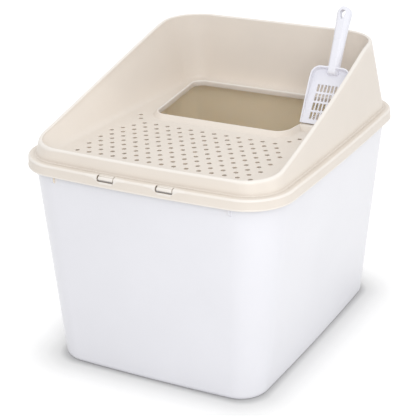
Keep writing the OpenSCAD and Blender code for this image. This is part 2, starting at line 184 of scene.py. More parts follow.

# The plastics' looks. Lengths are metres, and texture scales are per metre.
# The lid's finish paints highlights on its rounded edges and brown shade in its narrow gaps.
LID_FINISH = dict(roughness=0.42, grain=1500.0, grain_depth=0.000010, mottle=0.03, coat=0.2,
                  specular=0.42, edge_highlight=0.4, crevice_shade_colour=(0.26, 0.18, 0.10))
TUB_FINISH = dict(roughness=0.34, grain=1100.0, grain_depth=0.000008, mottle=0.018, coat=0.5)
INSIDE_FINISH = dict(roughness=0.42, grain=1100.0, grain_depth=0.000008, mottle=0.03, through=0.6)
SCOOP_FINISH = dict(roughness=0.28, grain=1200.0, grain_depth=0.000006, mottle=0.015, coat=0.25)
COAT_ROUGHNESS = 0.14
SCATTER_COLOURS, SCATTER_REACH = (1.0, 0.85, 0.7), 0.012
CLOUD_SCALE, CLOUD_DETAIL, CLOUD_RANGE = 9.0, 3.0, (0.30, 0.70)
GLOSS_SCALE, GLOSS_DETAIL, GLOSS_SPREAD = 45.0, 4.0, 0.06
GRAIN_DETAIL, GRAIN_ROUGHNESS, GRAIN_STRENGTH = 2.0, 0.6, 0.6

# Painted highlights on rounded edges: their pale colour, the pointiness where they start and are
# full, and the half width, half depth and height of the box that has none. Painted shade in narrow
# gaps: the reach, samples and openness it is judged by.
HIGHLIGHT_COLOUR = (0.97, 0.955, 0.93)
HIGHLIGHT_START, HIGHLIGHT_FULL = 0.509, 0.522
HIGHLIGHT_FREE_BOX = (0.172, 0.212, 0.318)
PAINTED_SHADE_REACH, PAINTED_SHADE_SAMPLES = 0.012, 6
PAINTED_SHADE_START, PAINTED_SHADE_FULL = 0.78, 0.38

# The floor, in metres: its grey, and the glow it shows the camera, by the distance from a box inside
# the tub's foot. The glow drops towards the foot, which paints a shadow round it on top of the real
# one. GLOW_LEVELS is pairs of the share of the way and the glow there.
FLOOR_R, FLOOR_SEGMENTS, FLOOR_GREY = 9.0, 64, 0.62
GLOW_BOX = (0.127, 0.175, 0)
GLOW_FROM, GLOW_TO = 0.036, 0.186
GLOW_LEVELS = ((0.06, 0.20), (0.20, 0.33), (0.47, 0.50))
GLOW_NEAR, GLOW_FAR = 0.0, 0.6

# The lamps, in metres: where each stands, the point it faces and its side
KEY_LAMP = ((0.9, -1.5, 0.95), (0, 0, 0.25), 0.8)
SIDE_LAMP = ((1.6, -0.2, 0.35), (0, 0, 0.2), 0.8)
OVERHEAD_LAMP = ((0.1, 0.3, 1.7), (0, 0, 0.35), 0.2)

# The photograph's viewpoint, in metres and degrees, with the lens and sensor in millimetres
CAMERA_AT = (0.86156, -1.64200, 0.97167)
CAMERA_AIM = (0.03548, -0.09766, 0.23000)
CAMERA_ROLL = -1.2224
CAMERA_LENS, CAMERA_SENSOR = 116.15, 36.0
CAMERA_NEAR, CAMERA_FAR = 0.05, 50.0


# Settings

class LidSettings(bpy.types.PropertyGroup):
    """Sizes and colour of the lid."""

    hole_diameter: FloatProperty(
        name="Hole diameter", description="Diameter of the holes in the step deck",
        default=0.0066, min=0.004, max=0.009, subtype="DISTANCE", unit="LENGTH")
    colour: FloatVectorProperty(
        name="Lid colour", description="Colour of the lid's plastic",
        default=(0.795, 0.728, 0.655), size=3, min=0.0, max=1.0, subtype="COLOR")


class TubSettings(bpy.types.PropertyGroup):
    """Colours of the tub."""

    colour: FloatVectorProperty(
        name="Tub colour", description="Colour of the tub's plastic outside",
        default=(0.840, 0.840, 0.885), size=3, min=0.0, max=1.0, subtype="COLOR")
    # Painted light: the inner faces' tan stands for warm light bounced in from the beige lid.
    inside_warm_light_colour: FloatVectorProperty(
        name="Inside colour", description="Colour of the tub's inner faces",
        default=(0.975, 0.790, 0.610), size=3, min=0.0, max=1.0, subtype="COLOR")


class ScoopSettings(bpy.types.PropertyGroup):
    """Slots and colour of the scoop."""

    slot_columns: IntProperty(
        name="Slot columns", description="Columns of slots in the blade",
        default=SLOT_COLUMNS, min=5, max=7)
    colour: FloatVectorProperty(
        name="Scoop colour", description="Colour of the scoop's plastic",
        default=(0.830, 0.835, 0.905), size=3, min=0.0, max=1.0, subtype="COLOR")


class StudioSettings(bpy.types.PropertyGroup):
    """Lights of the studio."""

    key_power: FloatProperty(
        name="Key light", description="Power of the key light",
        default=8.0, min=0.0, max=200.0, subtype="POWER", unit="POWER")
    side_power: FloatProperty(
        name="Side light", description="Power of the low light on the right",
        default=2.2, min=0.0, max=200.0, subtype="POWER", unit="POWER")
    overhead_power: FloatProperty(
        name="Overhead light", description="Power of the light above the box",
        default=1.0, min=0.0, max=200.0, subtype="POWER", unit="POWER")
    ambient: FloatProperty(
        name="Ambient light", description="Strength of the even light from all sides",
        default=0.90, min=0.0, max=2.0, subtype="FACTOR")


# Outlines

def blend(a, b, t):
    """The value a share t of the way from a to b."""
    return a + (b - a) * t


def rounded(half_w, half_d, radius):
    """Points of a rounded rectangle, counterclockwise from the start of its corner at +X, +Y."""
    signs = ((1, 1), (-1, 1), (-1, -1), (1, -1))

    def corner(q, t):
        angle = math.pi / 2 * (q + t)
        sx, sy = signs[q % 4]
        return Vector((sx * (half_w - radius) + radius * math.cos(angle),
                       sy * (half_d - radius) + radius * math.sin(angle)))

    points = []
    for q in range(4):
        points += [corner(q, i / CORNER_STEPS) for i in range(CORNER_STEPS + 1)]
        start, end = corner(q, 1), corner((q + 1) % 4, 0)
        points += [start.lerp(end, i / SIDE_STEPS) for i in range(1, SIDE_STEPS)]
    return points


def bowed(half_w, half_d, radius, side_bow=SIDE_BOW, end_bow=END_BOW):
    """A rounded rectangle whose sides and ends bow out."""
    return [Vector((p.x * (1 + side_bow / half_w * (1 - (p.y / half_d) ** 2)),
                    p.y * (1 + end_bow / half_d * (1 - (p.x / half_w) ** 2))))
            for p in rounded(half_w, half_d, radius)]


def at_height(points, z):
    return [Vector((p.x, p.y, z)) for p in points]


def rim_z(y):
    """Height of the rim: level at the front, a straight slope, level at the back."""
    slope = RIM_SLOPE_Z0 + RIM_SLOPE * y
    upper = (FRONT_RIM_Z + slope + math.hypot(FRONT_RIM_Z - slope, RIM_BLEND)) / 2
    return (upper + BACK_RIM_Z - math.hypot(upper - BACK_RIM_Z, RIM_BLEND)) / 2


def skirt_ring(inset, z):
    return at_height(bowed(SKIRT_HALF_W - inset, SKIRT_HALF_D - inset, SKIRT_R - inset), z)


def wall_low(inset):
    return bowed(WALL_HALF_W - inset, WALL_HALF_D - inset, WALL_R - inset,
                 WALL_SIDE_BOW, WALL_END_BOW)


def wall_high(inset):
    half_d = (TOP_FRONT_D + TOP_BACK_D) / 2
    shift = (TOP_BACK_D - TOP_FRONT_D) / 2
    return [Vector((p.x, p.y + shift)) for p in
            bowed(TOP_HALF_W - inset, half_d - inset, TOP_R - inset, WALL_SIDE_BOW, TOP_END_BOW)]


def wall_ring(inset, drop):
    """A ring on the raised wall, that far inside its outer face and below its rim."""
    ring = []
    for low, high in zip(wall_low(inset), wall_high(inset)):
        z = rim_z(low.y) - drop
        p = low.lerp(high, (z - FLANGE_TOP) / (BACK_RIM_Z - FLANGE_TOP))
        ring.append(Vector((p.x, p.y, z)))
    return ring


def deck_outline(inset):
    return [Vector((p.x * (1 - DECK_NARROWING * p.y / DECK_HALF_W), p.y + DECK_Y)) for p in
            rounded(DECK_HALF_W - inset, DECK_HALF_D - inset, DECK_R - inset / 2)]


def inner_ring(height, inset):
    """A ring on the wall's inner face at a height above the deck."""
    ring = []
    for foot, head in zip(deck_outline(inset), wall_ring(RIM_W + inset, RIM_ROLL)):
        p = foot.lerp(head.xy, height / (head.z - DECK_Z))
        ring.append(Vector((p.x, p.y, DECK_Z + height)))
    return ring


def inner_ring_below_rim(drop, inset):
    """A ring on the wall's inner face at a distance below the rim."""
    ring = []
    heads = wall_ring(RIM_W + inset, RIM_ROLL)
    for foot, head, low in zip(deck_outline(inset), heads, wall_low(0)):
        z = rim_z(low.y) - drop
        p = foot.lerp(head.xy, (z - DECK_Z) / (head.z - DECK_Z))
        ring.append(Vector((p.x, p.y, z)))
    return ring


def entry_outline(grow):
    return [Vector((p.x * (1 + ENTRY_WIDENING * p.y / ENTRY_HALF_W), p.y + ENTRY_Y)) for p in
            rounded(ENTRY_HALF_W + grow, ENTRY_HALF_D + grow, ENTRY_R + grow)]


def between(ring_a, ring_b, steps):
    """Rings at even steps from one ring to another, both ends left out."""
    return [[a.lerp(b, i / steps) for a, b in zip(ring_a, ring_b)] for i in range(1, steps)]


def bent(start, corner, end, steps):
    """Points along a soft bend from start to end, round a corner."""
    a, c, b = Vector(start), Vector(corner), Vector(end)
    shares = [i / steps for i in range(steps + 1)]
    return [tuple(a.lerp(c, t).lerp(c.lerp(b, t), t)) for t in shares]


def quarter(steps):
    """Pairs (forward, up) along a quarter circle of radius 1, from (0, 0) to (1, 1)."""
    return [(1 - math.cos(math.pi / 2 * i / steps), math.sin(math.pi / 2 * i / steps))
            for i in range(steps + 1)]


# Mesh tools

def start_ring(bm, points):
    """A closed ring of vertices at the points."""
    ring = bmesh.ops.create_circle(bm, cap_ends=False, segments=len(points), radius=1.0)["verts"]
    for vert, point in zip(ring, points):
        vert.co = point
    return ring


def ring_edges(bm, ring):
    return [bm.edges.get((ring[i - 1], ring[i])) for i in range(len(ring))]


def extruded(bm, row, edges, points):
    """Extrudes a row of vertices along its edges and moves the new row to the points."""
    made = bmesh.ops.extrude_edge_only(bm, edges=edges)["geom"]
    new = {v for v in made if isinstance(v, bmesh.types.BMVert)}
    grown = [next(e.other_vert(v) for e in v.link_edges if e.other_vert(v) in new) for v in row]
    for vert, point in zip(grown, points):
        vert.co = point
    return grown


def next_ring(bm, ring, points):
    """Extrudes a closed ring to the points."""
    return extruded(bm, ring, ring_edges(bm, ring), points)


def next_row(bm, row, points):
    """Extrudes a row that is open at its ends to the points."""
    edges = [bm.edges.get((row[i], row[i + 1])) for i in range(len(row) - 1)]
    return extruded(bm, row, edges, points)


def loft(bm, rings):
    """A skin through rings of equal length. Returns its first and last ring."""
    first = last = start_ring(bm, rings[0])
    for points in rings[1:]:
        last = next_ring(bm, last, points)
    return first, last


def flat_fill(bm, rings, normal):
    """Fills the flat area between closed rings."""
    edges = [e for ring in rings for e in ring_edges(bm, ring)]
    bmesh.ops.triangle_fill(bm, use_beauty=True, use_dissolve=False, edges=edges, normal=normal)


def finish_mesh(bm, name, merge=True):
    """Merges doubles, turns faces outwards, marks sharp edges and makes the object, in metres."""
    if merge:
        bmesh.ops.remove_doubles(bm, verts=bm.verts, dist=MERGE_DISTANCE)
    bmesh.ops.recalc_face_normals(bm, faces=bm.faces)
    bmesh.ops.scale(bm, vec=(MM, MM, MM), verts=bm.verts)
    mesh = bpy.data.meshes.new(name)
    bm.to_mesh(mesh)
    bm.free()
    shade(mesh)
    obj = bpy.data.objects.new(name, mesh)
    bpy.context.scene.collection.objects.link(obj)
    return obj


def shade(mesh, sharp_angle=SHARP_ANGLE):
    """Smooth faces, with edges past an angle marked sharp."""
    bm = bmesh.new()
    bm.from_mesh(mesh)
    limit = math.radians(sharp_angle)
    for face in bm.faces:
        face.smooth = True
    for edge in bm.edges:
        edge.smooth = edge.calc_face_angle(0.0) < limit
    bm.to_mesh(mesh)
    bm.free()


def evaluated_mesh(obj):
    """A new mesh of the object as its modifiers leave it."""
    bpy.context.view_layer.update()
    evaluated = obj.evaluated_get(bpy.context.evaluated_depsgraph_get())
    return bpy.data.meshes.new_from_object(evaluated)


def combine(target, tool, how):
    """Applies an exact boolean of tool to target, and removes tool."""
    modifier = target.modifiers.new(how.title(), "BOOLEAN")
    modifier.operation = how
    modifier.solver = "EXACT"
    modifier.object = tool
    result = evaluated_mesh(target)
    target.modifiers.remove(modifier)
    old = target.data
    target.data = result
    result.name = target.name
    bpy.data.meshes.remove(old)
    bpy.data.objects.remove(tool)
    if not len(result.polygons):
        raise RuntimeError(f"the {how.lower()} on {target.name} left nothing")


def eased_box(name, low, high, radius, segments=4):
    """A box between two corners, with rounded edges where there is a radius."""
    bm = bmesh.new()
    bmesh.ops.create_cube(bm, size=1.0)
    bmesh.ops.scale(bm, vec=high - low, verts=bm.verts)
    bmesh.ops.translate(bm, vec=(low + high) / 2, verts=bm.verts)
    if radius:
        bmesh.ops.bevel(bm, geom=bm.edges[:], offset=radius, offset_type="OFFSET",
                        segments=segments, profile=0.5, affect="EDGES", material=-1)
    return finish_mesh(bm, name)


def prism(name, outline, vec):
    """A prism: the outline's face, extruded along a vector."""
    bm = bmesh.new()
    face = bmesh.ops.contextual_create(bm, geom=start_ring(bm, outline))["faces"]
    made = bmesh.ops.extrude_face_region(bm, geom=face)["geom"]
    bmesh.ops.translate(bm, vec=vec, verts=[v for v in made if isinstance(v, bmesh.types.BMVert)])
    return finish_mesh(bm, name)


# Materials

def feed(tree, socket, value):
    """Links another node's output to the socket, or sets a plain value on it."""
    if isinstance(value, bpy.types.NodeSocket):
        tree.links.new(value, socket)
    else:
        socket.default_value = value


def worked_out(tree, operation, first, second):
    """The result of a Math node. Each input is a number or another node's output."""
    node = tree.nodes.new("ShaderNodeMath")
    node.operation = operation
    feed(tree, node.inputs[0], first)
    feed(tree, node.inputs[1], second)
    return node.outputs["Value"]


def vector_worked_out(tree, operation, first, second=(0, 0, 0), result="Vector"):
    """The same for a Vector Math node."""
    node = tree.nodes.new("ShaderNodeVectorMath")
    node.operation = operation
    feed(tree, node.inputs[0], first)
    feed(tree, node.inputs[1], second)
    return node.outputs[result]


def mapped(tree, amount, start=0.0, end=1.0, low=0.0, high=1.0):
    """An amount's way from start to end, as a value from low to high."""
    node = tree.nodes.new("ShaderNodeMapRange")
    for name, value in (("Value", amount), ("From Min", start), ("From Max", end),
                        ("To Min", low), ("To Max", high)):
        feed(tree, node.inputs[name], value)
    return node.outputs["Result"]


def noise(tree, place, scale, detail, roughness=0.5):
    """A noise texture's value at a place on the object."""
    node = tree.nodes.new("ShaderNodeTexNoise")
    for name, value in (("Vector", place), ("Scale", scale), ("Detail", detail),
                        ("Roughness", roughness)):
        feed(tree, node.inputs[name], value)
    return node.outputs["Fac"]


def mixed(tree, share, base, other):
    """The base colour, mixed with a share of another colour."""
    node = tree.nodes.new("ShaderNodeMixRGB")
    feed(tree, node.inputs["Fac"], share)
    feed(tree, node.inputs["Color1"], base)
    feed(tree, node.inputs["Color2"], (*other, 1))
    return node.outputs["Color"]


def painted_highlight_share(tree, place, most):
    """How much painted highlight a place gets: by the mesh's pointiness, outside a box."""
    measured = vector_worked_out(tree, "ABSOLUTE", place)
    measured = vector_worked_out(tree, "DIVIDE", measured, HIGHLIGHT_FREE_BOX)
    axes = tree.nodes.new("ShaderNodeSeparateXYZ")
    feed(tree, axes.inputs["Vector"], measured)
    outside = worked_out(tree, "MAXIMUM", axes.outputs["X"], axes.outputs["Y"])
    outside = worked_out(tree, "MAXIMUM", outside, axes.outputs["Z"])
    outside = worked_out(tree, "GREATER_THAN", outside, 1.0)
    pointiness = tree.nodes.new("ShaderNodeNewGeometry").outputs["Pointiness"]
    amount = worked_out(tree, "MULTIPLY", outside, pointiness)
    return mapped(tree, amount, HIGHLIGHT_START, HIGHLIGHT_FULL, high=most)


def painted_shade_share(tree):
    """How much painted shade a place gets: the more, the more it is closed in."""
    node = tree.nodes.new("ShaderNodeAmbientOcclusion")
    node.samples = PAINTED_SHADE_SAMPLES
    node.inputs["Distance"].default_value = PAINTED_SHADE_REACH
    return mapped(tree, node.outputs["AO"], PAINTED_SHADE_START, PAINTED_SHADE_FULL)


def moulded_plastic(name, colour, roughness, grain, grain_depth, mottle, coat=0.0, specular=0.5,
                    through=0.0, edge_highlight=0.0, crevice_shade_colour=None):
    """Injection moulded plastic: faint mottling, a fine texture from the mould and uneven gloss.

    A share of the light, "through", scatters inside the wall and so comes through it. Rounded edges
    round and above the deck get a painted highlight, paler by "edge_highlight", and narrow gaps get
    painted shade in "crevice_shade_colour".
    """
    material = bpy.data.materials.new(name)
    material.use_nodes = True
    tree = material.node_tree
    shader = tree.nodes["Principled BSDF"]
    for socket, value in (("Specular IOR Level", specular), ("Coat Weight", coat),
                          ("Coat Roughness", COAT_ROUGHNESS), ("Subsurface Weight", through),
                          ("Subsurface Radius", SCATTER_COLOURS), ("Subsurface Scale", SCATTER_REACH)):
        shader.inputs[socket].default_value = value
    place = tree.nodes.new("ShaderNodeTexCoord").outputs["Object"]

    shades = tree.nodes.new("ShaderNodeValToRGB")
    dark, light = shades.color_ramp.elements
    dark.position, light.position = CLOUD_RANGE
    dark.color = (*[c * (1 - mottle) for c in colour], 1)
    light.color = (*[min(1.0, c * (1 + mottle * 0.5)) for c in colour], 1)
    feed(tree, shades.inputs["Fac"], noise(tree, place, CLOUD_SCALE, CLOUD_DETAIL))
    base = shades.outputs["Color"]
    # Painted highlight: rounded edges are made paler, as if they caught the light.
    if edge_highlight:
        base = mixed(tree, painted_highlight_share(tree, place, edge_highlight), base, HIGHLIGHT_COLOUR)
    # Painted shade: closed-in places, such as the holes, fillets and dock, are made darker and browner.
    if crevice_shade_colour:
        base = mixed(tree, painted_shade_share(tree), base, crevice_shade_colour)
    feed(tree, shader.inputs["Base Color"], base)

    feed(tree, shader.inputs["Roughness"],
         mapped(tree, noise(tree, place, GLOSS_SCALE, GLOSS_DETAIL),
                low=roughness - GLOSS_SPREAD, high=roughness + GLOSS_SPREAD))

    bump = tree.nodes.new("ShaderNodeBump")
    bump.inputs["Strength"].default_value = GRAIN_STRENGTH
    bump.inputs["Distance"].default_value = grain_depth
    feed(tree, bump.inputs["Height"], noise(tree, place, grain, GRAIN_DETAIL, GRAIN_ROUGHNESS))
    feed(tree, shader.inputs["Normal"], bump.outputs["Normal"])
    return material


def seen_directly(tree):
    """1 for rays from the camera, also by a reflection or through a surface, and 0 for the rest."""
    path = tree.nodes.new("ShaderNodeLightPath").outputs
    seen = worked_out(tree, "MAXIMUM", path["Is Camera Ray"], path["Is Glossy Ray"])
    return worked_out(tree, "MAXIMUM", seen, path["Is Transmission Ray"])


def grey(level):
    return (level, level, level, 1)


def studio_floor():
    """A pale floor, white to the camera far off, whose glow drops near the box: real shadow and painted
    shadow.
    """
    material = bpy.data.materials.new("studio_floor")
    material.use_nodes = True
    tree = material.node_tree
    tree.nodes.remove(tree.nodes["Principled BSDF"])
    matte = tree.nodes.new("ShaderNodeBsdfDiffuse")
    matte.inputs["Color"].default_value = grey(FLOOR_GREY)

    place = tree.nodes.new("ShaderNodeTexCoord").outputs["Object"]
    past_box = vector_worked_out(tree, "SUBTRACT", vector_worked_out(tree, "ABSOLUTE", place), GLOW_BOX)
    past_box = vector_worked_out(tree, "MAXIMUM", past_box)
    distance = vector_worked_out(tree, "LENGTH", past_box, result="Value")
    # Painted shadow: the glow fades out towards the tub's foot, darkening the floor round it.
    painted_shadow_ramp = tree.nodes.new("ShaderNodeValToRGB")
    feed(tree, painted_shadow_ramp.inputs["Fac"], mapped(tree, distance, GLOW_FROM, GLOW_TO))
    stops = painted_shadow_ramp.color_ramp.elements
    for at, level in GLOW_LEVELS:
        stops.new(at).color = grey(level)
    stops[0].color, stops[-1].color = grey(GLOW_NEAR), grey(GLOW_FAR)

    glow = tree.nodes.new("ShaderNodeEmission")
    glow.inputs["Color"].default_value = grey(1)
    feed(tree, glow.inputs["Strength"],
         worked_out(tree, "MULTIPLY", seen_directly(tree), painted_shadow_ramp.outputs["Color"]))
    both = tree.nodes.new("ShaderNodeAddShader")
    feed(tree, both.inputs[0], matte.outputs["BSDF"])
    feed(tree, both.inputs[1], glow.outputs["Emission"])
    feed(tree, tree.nodes["Material Output"].inputs["Surface"], both.outputs["Shader"])
    return material


def give(obj, *materials):
    obj.data.materials.clear()
    for material in materials:
        obj.data.materials.append(material)


# The lid

def hole_places():
    """Staggered rows of holes, shorter beside the opening, and two more on each side of it."""
    places = []
    for row, reach in enumerate(ROW_REACH):
        shift = row % 2 / 2
        steps = [i + shift for i in range(-math.ceil(reach) - 1, math.ceil(reach) + 1)]
        places += [(step * HOLE_PITCH, FIRST_ROW_Y + row * ROW_PITCH)
                   for step in steps if abs(step) <= reach]
    for side in (-1, 1):
        places += [(side * x, FIRST_ROW_Y + row * ROW_PITCH)
                   for row, x in enumerate(SIDE_HOLE_X, start=len(ROW_REACH))]
    return places


def hole_ring(x, y, z, radius):
    angles = [2 * math.pi * i / HOLE_SEGMENTS for i in range(HOLE_SEGMENTS)]
    return [Vector((x + radius * math.cos(a), y + radius * math.sin(a), z)) for a in angles]


def deck_holes(bm, diameter):
    """The holes' walls. Returns their rings in the deck's top and in its underside."""
    tops, unders = [], []
    r = diameter / 2
    for x, y in hole_places():
        top, under = loft(bm, [hole_ring(x, y, DECK_Z, r + HOLE_EASE),
                               hole_ring(x, y, DECK_Z - HOLE_EASE, r),
                               hole_ring(x, y, DECK_Z - WALL, r)])
        tops.append(top)
        unders.append(under)
    return tops, unders


def lid_outside():
    """Rings up the skirt, over the flange, up the wall, over its rim and down to the deck."""
    rings = [skirt_ring(inset, SKIRT_BOTTOM + up) for inset, up in BEAD_PROFILE]
    rings += [skirt_ring(BEAD + FLANGE_R * f, FLANGE_TOP - FLANGE_R * (1 - u))
              for f, u in quarter(FLANGE_STEPS)]
    rings += [at_height(wall_low(-FOOT_FILLET - FOOT_LEAD), FLANGE_TOP)]
    rings += [at_height(wall_low(-FOOT_FILLET * (1 - u)), FLANGE_TOP + FOOT_FILLET * f)
              for f, u in quarter(FOOT_STEPS)]
    rings += between(rings[-1], wall_ring(0, RIM_ROLL), WALL_STEPS)
    for i in range(RIM_STEPS + 1):
        angle = math.pi * i / RIM_STEPS
        rings.append(wall_ring(RIM_W / 2 * (1 - math.cos(angle)), RIM_ROLL * (1 - math.sin(angle))))
    fillet_top = inner_ring(DECK_FILLET, 0)
    rings += between(rings[-1], fillet_top, WALL_STEPS) + [fillet_top]
    flat = at_height(deck_outline(DECK_FILLET), DECK_Z)
    corner = at_height(deck_outline(0), DECK_Z)
    for i in range(1, DECK_FILLET_STEPS):
        t = i / DECK_FILLET_STEPS
        rings.append([a.lerp(c, t).lerp(c.lerp(b, t), t) for a, b, c in zip(fillet_top, flat, corner)])
    return rings + [flat, at_height(deck_outline(DECK_FILLET + DECK_LEAD), DECK_Z)]


def entry_frame():
    """Rings up the frame's slope, over the lip, down into the opening and back under the slope."""
    along, up = CURB_BEND * math.cos(CURB_SLOPE), CURB_BEND * math.sin(CURB_SLOPE)
    section = bent((CURB_W + CURB_BEND, DECK_Z), (CURB_W, DECK_Z), (CURB_W - along, DECK_Z + up),
                   BEND_STEPS)
    section += bent((LIP_T + along, LIP_TOP - up), (LIP_T, LIP_TOP), (LIP_FLAT[0], LIP_TOP),
                    BEND_STEPS)
    section += bent((LIP_FLAT[1], LIP_TOP), (0, LIP_TOP), (0, LIP_TOP - LIP_ROUNDING),
                    LIP_ROUNDING_STEPS)
    section += bent((0, LIP_BOTTOM + LIP_UNDER_R), (0, LIP_BOTTOM), (LIP_UNDER_R, LIP_BOTTOM),
                    LIP_UNDER_STEPS)
    section += [(LIP_T - LIP_BACK_EASE_W, LIP_BOTTOM), (LIP_T, LIP_BOTTOM + LIP_BACK_EASE_H),
                (LIP_T, LIP_TOP - CURB_DROP), (CURB_UNDER, DECK_Z - WALL)]
    return [at_height(entry_outline(grow), z) for grow, z in section]


def lid_inside():
    """Rings from the deck's underside up into the hollow wall, down it and out to the skirt's edge."""
    deck_edge = at_height(deck_outline(-WALL), DECK_Z - WALL)
    inner_top = inner_ring_below_rim(HOLLOW_DROP, -WALL)
    outer_top = wall_ring(WALL, HOLLOW_DROP)
    outer_foot = at_height(wall_low(WALL), FLANGE_UNDER)
    return ([deck_edge] + between(deck_edge, inner_top, WALL_STEPS) + [inner_top, outer_top]
            + between(outer_top, outer_foot, WALL_STEPS)
            + [outer_foot, skirt_ring(WALL, FLANGE_UNDER), skirt_ring(WALL, SKIRT_BOTTOM)])


def lid_shell(hole_diameter):
    """The lid's closed shell, with its holes and opening."""
    bm = bmesh.new()
    skirt_outer, deck_top = loft(bm, lid_outside())
    frame_top, frame_under = loft(bm, entry_frame())
    deck_under, skirt_inner = loft(bm, lid_inside())
    bmesh.ops.bridge_loops(bm, edges=ring_edges(bm, skirt_outer) + ring_edges(bm, skirt_inner))
    hole_tops, hole_unders = deck_holes(bm, hole_diameter)
    flat_fill(bm, [deck_top, frame_top] + hole_tops, (0, 0, 1))
    flat_fill(bm, [deck_under, frame_under] + hole_unders, (0, 0, -1))
    return finish_mesh(bm, "lid_shell")


def dock_prism(name, grow):
    """The dock's space: a floor, a back that leans with the blade, and a side, grown by a distance."""
    front, back, low = DOCK_Y0 - grow, FOOT_Y + DOCK_GAP + grow, LIP_TOP - grow
    reach = DOCK_Y1 - FOOT_Y
    lean = reach / math.tan(math.radians(BLADE_LEAN))
    outline = [(front, low), (back, low), (back + reach, LIP_TOP + lean), (back + reach, DOCK_TOP),
               (front, DOCK_TOP)]
    points = [Vector((DOCK_X0, y, z)) for y, z in outline]
    return prism(name, points, (DOCK_X1 - DOCK_X0 + grow, 0, 0))


def foot_ledge():
    """A low ledge on the deck, between the opening's lip and the dock, for the scoop's foot."""
    edge = -LEDGE_HALF
    side = [(edge - LEDGE_SLOPE, LEDGE_LOW)]
    side += bent((edge - LEDGE_BEND_OUT, LEDGE_TOP - LEDGE_BEND_DOWN), (edge, LEDGE_TOP),
                 (edge + LEDGE_BEND_IN, LEDGE_TOP), BEND_STEPS)
    outline = side + [(-y, z) for y, z in reversed(side)]
    points = [Vector((LEDGE_X0, FOOT_Y + y, z)) for y, z in outline]
    return prism("foot_ledge", points, (LEDGE_X1 - LEDGE_X0, 0, 0))


def lid_core():
    """A closed solid inside the lid's outer and upper faces, which keeps the dock's walls in them."""
    rings = [at_height(wall_low(CORE_INSET), FLANGE_TOP - CORE_SINK),
             wall_ring(CORE_INSET, CORE_DROP), wall_ring(RIM_W - CORE_INSET, CORE_DROP),
             at_height(deck_outline(-CORE_INSET), DECK_Z - CORE_INSET)]
    bm = bmesh.new()
    first, last = loft(bm, rings)
    flat_fill(bm, [first], (0, 0, -1))
    flat_fill(bm, [last], (0, 0, 1))
    return finish_mesh(bm, "lid_core")


def snap_nose(side):
    """A rounded bar on a web, hanging from the back edge of its window."""
    length = WINDOW_W - 2 * NOSE_GAP
    bm = bmesh.new()
    bmesh.ops.create_cone(bm, cap_ends=True, segments=NOSE_SEGMENTS, radius1=NOSE_R, radius2=NOSE_R,
                          depth=length)
    caps = [e for e in bm.edges if e.calc_face_angle(0.0) > NOSE_CAP_ANGLE]
    bmesh.ops.bevel(bm, geom=caps, offset=NOSE_EASE, offset_type="OFFSET", segments=NOSE_EASE_STEPS,
                    profile=0.5, affect="EDGES", material=-1)
    bmesh.ops.rotate(bm, matrix=Matrix.Rotation(math.pi / 2, 3, "Y"), verts=bm.verts)
    bmesh.ops.translate(bm, vec=(0, NOSE_Y, NOSE_LOW + NOSE_R), verts=bm.verts)
    bmesh.ops.translate(bm, vec=(side * WINDOW_X, WINDOW_Y, WINDOW_LOW), verts=bm.verts)
    nose = finish_mesh(bm, "nose")
    low = Vector((side * WINDOW_X - length / 2, WINDOW_Y + NOSE_Y, WINDOW_LOW + NOSE_LOW))
    high = Vector((side * WINDOW_X + length / 2, WINDOW_Y + WINDOW_DEPTH + WEB_OVERLAP,
                   FLANGE_TOP - WEB_DROP))
    combine(nose, eased_box("web", low, high, WEB_EASE, WEB_EASE_STEPS), "UNION")
    return nose


def build_lid(settings):
    lid = lid_shell(settings.hole_diameter / MM)
    pocket = dock_prism("pocket", WALL)
    combine(pocket, lid_core(), "INTERSECT")
    combine(lid, pocket, "UNION")
    combine(lid, foot_ledge(), "UNION")
    combine(lid, dock_prism("dock", 0.0), "DIFFERENCE")
    for side in (-1, 1):
        low = Vector((side * WINDOW_X - WINDOW_W / 2, WINDOW_Y - WINDOW_BEFORE, WINDOW_LOW))
        high = low + Vector((WINDOW_W, WINDOW_BEFORE + WINDOW_DEPTH, WINDOW_H + WINDOW_OVER))
        combine(lid, eased_box("window", low, high, WINDOW_EASE), "DIFFERENCE")
        combine(lid, snap_nose(side), "UNION")
    shade(lid.data)
    lid.name = "lid_moulding"
    give(lid, moulded_plastic("lid_plastic", settings.colour, **LID_FINISH))
    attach(lid, "lid")
    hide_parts("lid")


# The tub

def tub_ring(z, inset):
    t = z / SKIRT_BOTTOM
    outline = bowed(blend(TUB_BOTTOM_HALF_W, TUB_TOP_HALF_W, t) - inset,
                    blend(TUB_BOTTOM_HALF_D, TUB_TOP_HALF_D, t) - inset,
                    blend(TUB_BOTTOM_R, TUB_TOP_R, t) - inset,
                    blend(TUB_FLOOR_BOW, SIDE_BOW, t), blend(TUB_FLOOR_BOW, END_BOW, t))
    return at_height(outline, z)


def tub_rim_ring(z, inset):
    grow = TUB_RIM_W - inset
    return at_height(bowed(TUB_TOP_HALF_W + grow, TUB_TOP_HALF_D + grow, TUB_RIM_R - inset), z)


